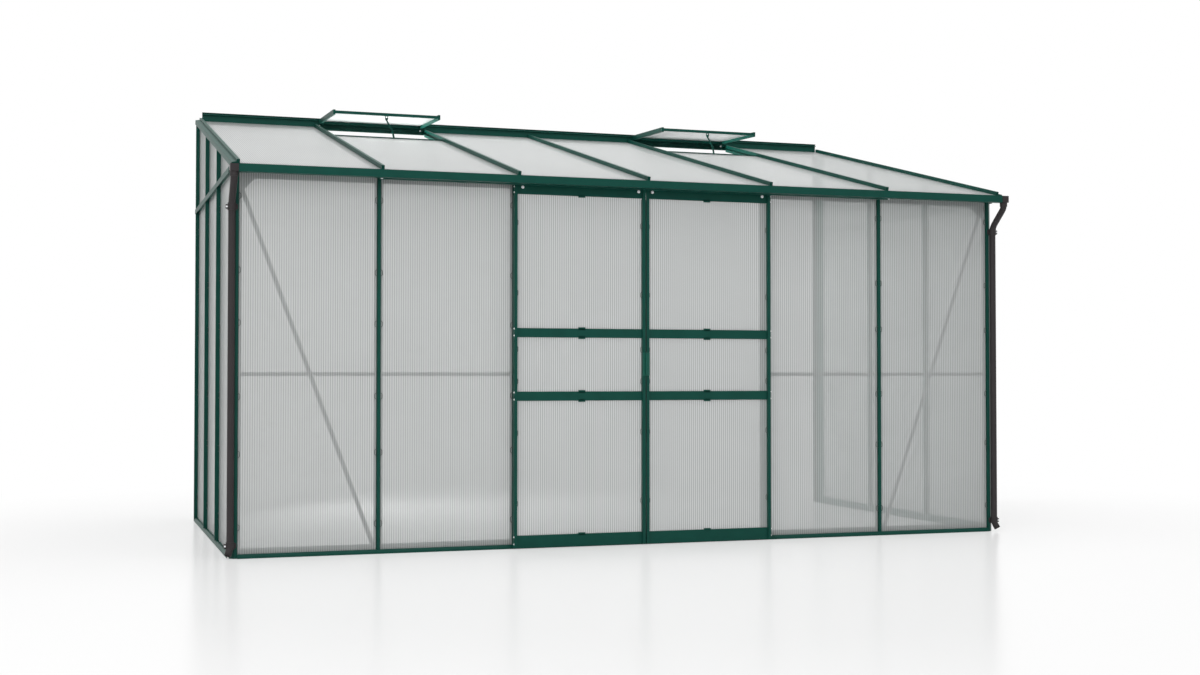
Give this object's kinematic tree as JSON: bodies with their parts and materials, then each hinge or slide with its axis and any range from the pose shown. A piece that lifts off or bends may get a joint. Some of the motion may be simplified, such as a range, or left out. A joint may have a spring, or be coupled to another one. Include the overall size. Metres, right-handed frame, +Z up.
{
  "type": "lean to greenhouse",
  "caption": "Lean-to greenhouse frame with twin-wall glazing, sliding double doors, hinged roof vents, an eaves gutter and corner rainwater pipes; its back is open to a house wall.",
  "frame": {"origin": "on the ground under the middle of the doorway, in the plane of the front glazing", "axes": "+X along the front to the right as seen from outside, +Y from the front towards the house wall, +Z up"},
  "size_m": [3.8222, 2.058, 2.225],
  "materials": {
    "green_frame": "satin",
    "twin_wall_sheet": "satin",
    "dark_pipe": "satin",
    "white_nylon": "satin"
  },
  "bodies": {
    "frame": {"front_sill": "green_frame", "left_sill": "green_frame", "right_sill": "green_frame", "left_corner_post": "green_frame", "right_corner_post": "green_frame", "left_wall_post": "green_frame", "right_wall_post": "green_frame", "front_bar_left": "green_frame", "front_bar_right": "green_frame", "door_jamb_left": "green_frame", "door_jamb_right": "green_frame", "left_bar_1": "green_frame", "left_bar_2": "green_frame", "right_bar_1": "green_frame", "right_bar_2": "green_frame", "left_eaves_rail": "green_frame", "right_eaves_rail": "green_frame", "left_rafter": "green_frame", "right_rafter": "green_frame", "roof_bar_1": "green_frame", "roof_bar_2": "green_frame", "roof_bar_3": "green_frame", "roof_bar_4": "green_frame", "roof_bar_5": "green_frame", "ridge_plate": "green_frame", "eaves_beam": "green_frame", "door_track": "green_frame", "front_pane_1": "twin_wall_sheet", "front_pane_2": "twin_wall_sheet", "front_pane_3": "twin_wall_sheet", "front_pane_4": "twin_wall_sheet", "left_pane_1": "twin_wall_sheet", "left_pane_2": "twin_wall_sheet", "left_pane_3": "twin_wall_sheet", "right_pane_1": "twin_wall_sheet", "right_pane_2": "twin_wall_sheet", "right_pane_3": "twin_wall_sheet", "roof_pane_1": "twin_wall_sheet", "roof_pane_2": "twin_wall_sheet", "roof_pane_3": "twin_wall_sheet", "roof_pane_4": "twin_wall_sheet", "roof_pane_5": "twin_wall_sheet", "roof_pane_6": "twin_wall_sheet", "rainwater_pipe_left": "dark_pipe", "rainwater_pipe_right": "dark_pipe"},
    "door_left": {"door_left_frame": "green_frame", "door_left_pane": "twin_wall_sheet"},
    "door_left_roller_1": {"door_left_roller_1": "white_nylon"},
    "door_left_roller_2": {"door_left_roller_2": "white_nylon"},
    "door_right": {"door_right_frame": "green_frame", "door_right_pane": "twin_wall_sheet"},
    "door_right_roller_1": {"door_right_roller_1": "white_nylon"},
    "door_right_roller_2": {"door_right_roller_2": "white_nylon"},
    "vent_left": {"vent_left_frame": "green_frame", "vent_left_pane": "twin_wall_sheet"},
    "vent_left_stay": {"vent_left_stay": "green_frame"},
    "vent_right": {"vent_right_frame": "green_frame", "vent_right_pane": "twin_wall_sheet"},
    "vent_right_stay": {"vent_right_stay": "green_frame"}
  },
  "joints": [
    {"name": "door_left_slide", "type": "slide", "parent": "frame", "child": "door_left", "axis": [-1, 0, 0], "range_m": [0, 0.61]},
    {"name": "door_left_roller_1_spin", "type": "hinge", "parent": "door_left", "child": "door_left_roller_1", "pos_m": [-0.034, -0.076, 1.6565], "axis": [0, 1, 0], "range_deg": [-5100, 90]},
    {"name": "door_left_roller_2_spin", "type": "hinge", "parent": "door_left", "child": "door_left_roller_2", "pos_m": [-0.595, -0.076, 1.6565], "axis": [0, 1, 0], "range_deg": [-5100, 90]},
    {"name": "door_right_slide", "type": "slide", "parent": "frame", "child": "door_right", "axis": [1, 0, 0], "range_m": [0, 0.61]},
    {"name": "door_right_roller_1_spin", "type": "hinge", "parent": "door_right", "child": "door_right_roller_1", "pos_m": [0.034, -0.076, 1.6565], "axis": [0, 1, 0], "range_deg": [-90, 5100]},
    {"name": "door_right_roller_2_spin", "type": "hinge", "parent": "door_right", "child": "door_right_roller_2", "pos_m": [0.595, -0.076, 1.6565], "axis": [0, 1, 0], "range_deg": [-90, 5100]},
    {"name": "vent_left_hinge", "type": "hinge", "parent": "frame", "child": "vent_left", "pos_m": [-0.933, 1.905, 2.2133], "axis": [1, 0, 0], "range_deg": [0, 12.1]},
    {"name": "vent_left_stay_swing", "type": "hinge", "parent": "vent_left", "child": "vent_left_stay", "pos_m": [-0.933, 1.43371, 2.16538], "axis": [1, 0, 0], "range_deg": [0, 90]},
    {"name": "vent_right_hinge", "type": "hinge", "parent": "frame", "child": "vent_right", "pos_m": [0.933, 1.905, 2.2133], "axis": [1, 0, 0], "range_deg": [0, 12.1]},
    {"name": "vent_right_stay_swing", "type": "hinge", "parent": "vent_right", "child": "vent_right_stay", "pos_m": [0.933, 1.43371, 2.16538], "axis": [1, 0, 0], "range_deg": [0, 90]}
  ],
  "couplings": [
    {"joint": "door_left_roller_1_spin", "follows": "door_left_slide", "rad_per_m": -142.86},
    {"joint": "door_left_roller_2_spin", "follows": "door_left_slide", "rad_per_m": -142.86},
    {"joint": "door_right_roller_1_spin", "follows": "door_right_slide", "rad_per_m": 142.86},
    {"joint": "door_right_roller_2_spin", "follows": "door_right_slide", "rad_per_m": 142.86},
    {"joint": "vent_left_stay_swing", "follows": "vent_left_hinge", "ratio": 6.5},
    {"joint": "vent_right_stay_swing", "follows": "vent_right_hinge", "ratio": 6.5}
  ]
}
